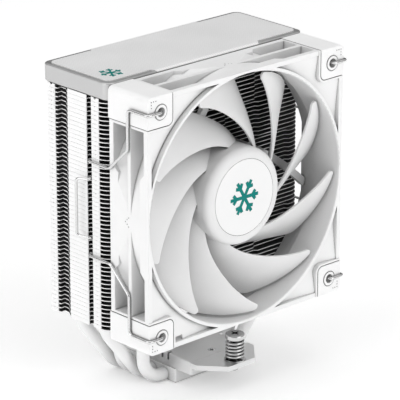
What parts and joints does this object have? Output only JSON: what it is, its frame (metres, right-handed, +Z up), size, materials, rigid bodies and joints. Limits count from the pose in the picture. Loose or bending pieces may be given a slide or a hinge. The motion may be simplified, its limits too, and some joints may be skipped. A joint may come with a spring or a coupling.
{
  "type": "cpu tower cooler",
  "caption": "White single-tower processor cooler: fin stack on four heat pipes, a clipped-on 120 mm fan, top cover and a two-screw mounting base.",
  "frame": {"origin": "centre of the cold plate's contact face", "axes": "+Z up the tower away from the contact face, -Y towards the fan's front, +X right seen from the fan"},
  "size_m": [0.1274, 0.0954, 0.1551],
  "materials": {
    "white_paint": "satin white powder coat",
    "white_plastic": "fine moulded matte white",
    "rotor_plastic": "smooth matte white",
    "pad_rubber": "matte white rubber",
    "silver_shell": "satin silver anodised",
    "white_panel": "fine checkered white",
    "emblem_teal": "smooth teal print",
    "label_white": "smooth white label",
    "grey_label": "grey label",
    "chrome_steel": "bright nickel plate",
    "spring_wire": "polished spring wire",
    "magnet_black": "sintered ferrite",
    "core_steel": "laminated steel",
    "coil_copper": "enamelled copper wire",
    "board_green": "solder resist",
    "bearing_bronze": "sintered bronze"
  },
  "bodies": {
    "heatsink": {"cold_plate": "white_paint", "base_block": "white_paint", "mounting_arm_front": "white_paint", "mounting_arm_rear": "white_paint", "arm_screws": "chrome_steel", "screw_washer_front": "chrome_steel", "screw_washer_rear": "chrome_steel", "heat_pipe_1": "white_paint", "heat_pipe_2": "white_paint", "heat_pipe_3": "white_paint", "heat_pipe_4": "white_paint", "fins": "white_paint", "cover_shell": "silver_shell", "cover_panel": "white_panel", "cover_emblem": "emblem_teal", "fan_frame": "white_plastic", "corner_pad_upper_left": "pad_rubber", "corner_pad_upper_right": "pad_rubber", "corner_pad_lower_left": "pad_rubber", "corner_pad_lower_right": "pad_rubber", "stator_core": "core_steel", "stator_coils": "coil_copper", "fan_circuit_board": "board_green", "sleeve_bearing": "bearing_bronze", "motor_back_label": "grey_label"},
    "rotor_body": {"rotor": "rotor_plastic", "hub_label": "label_white", "hub_emblem": "emblem_teal", "motor_yoke": "core_steel", "magnet_ring": "magnet_black", "fan_shaft": "chrome_steel"},
    "spring_seat_front": {"spring_cap_front": "chrome_steel", "screw_spring_front": "spring_wire"},
    "screw_front": {"spring_screw_front": "chrome_steel", "retaining_ring_front": "chrome_steel"},
    "spring_seat_rear": {"spring_cap_rear": "chrome_steel", "screw_spring_rear": "spring_wire"},
    "screw_rear": {"spring_screw_rear": "chrome_steel", "retaining_ring_rear": "chrome_steel"},
    "clip_left": {"wire_clip_left": "spring_wire"},
    "clip_right": {"wire_clip_right": "spring_wire"}
  },
  "joints": [
    {"name": "fan_spin", "type": "hinge", "parent": "heatsink", "child": "rotor_body", "pos_m": [0, -0.0355, 0.094], "axis": [0, -1, 0], "continuous": true},
    {"name": "screw_press_front", "type": "slide", "parent": "heatsink", "child": "spring_seat_front", "axis": [0, 0, -1], "range_m": [0, 0.0022], "stiffness_N_per_m": 6000, "springref_m": -0.0005, "deforming": ["screw_spring_front"]},
    {"name": "screw_turn_front", "type": "hinge", "parent": "spring_seat_front", "child": "screw_front", "pos_m": [0, -0.0403, 0.0243], "axis": [0, 0, 1], "continuous": true},
    {"name": "screw_press_rear", "type": "slide", "parent": "heatsink", "child": "spring_seat_rear", "axis": [0, 0, -1], "range_m": [0, 0.0022], "stiffness_N_per_m": 6000, "springref_m": -0.0005, "deforming": ["screw_spring_rear"]},
    {"name": "screw_turn_rear", "type": "hinge", "parent": "spring_seat_rear", "child": "screw_rear", "pos_m": [0, 0.0403, 0.0243], "axis": [0, 0, 1], "continuous": true},
    {"name": "clip_left_swing", "type": "hinge", "parent": "heatsink", "child": "clip_left", "pos_m": [-0.0525, -0.0496, 0.094], "axis": [0, 0, 1], "range_deg": [0, 13], "stiffness_Nm_per_rad": 0.02, "springref_deg": -5.73},
    {"name": "clip_right_swing", "type": "hinge", "parent": "heatsink", "child": "clip_right", "pos_m": [0.0525, -0.0496, 0.094], "axis": [0, 0, -1], "range_deg": [0, 13], "stiffness_Nm_per_rad": 0.02, "springref_deg": -5.73}
  ]
}
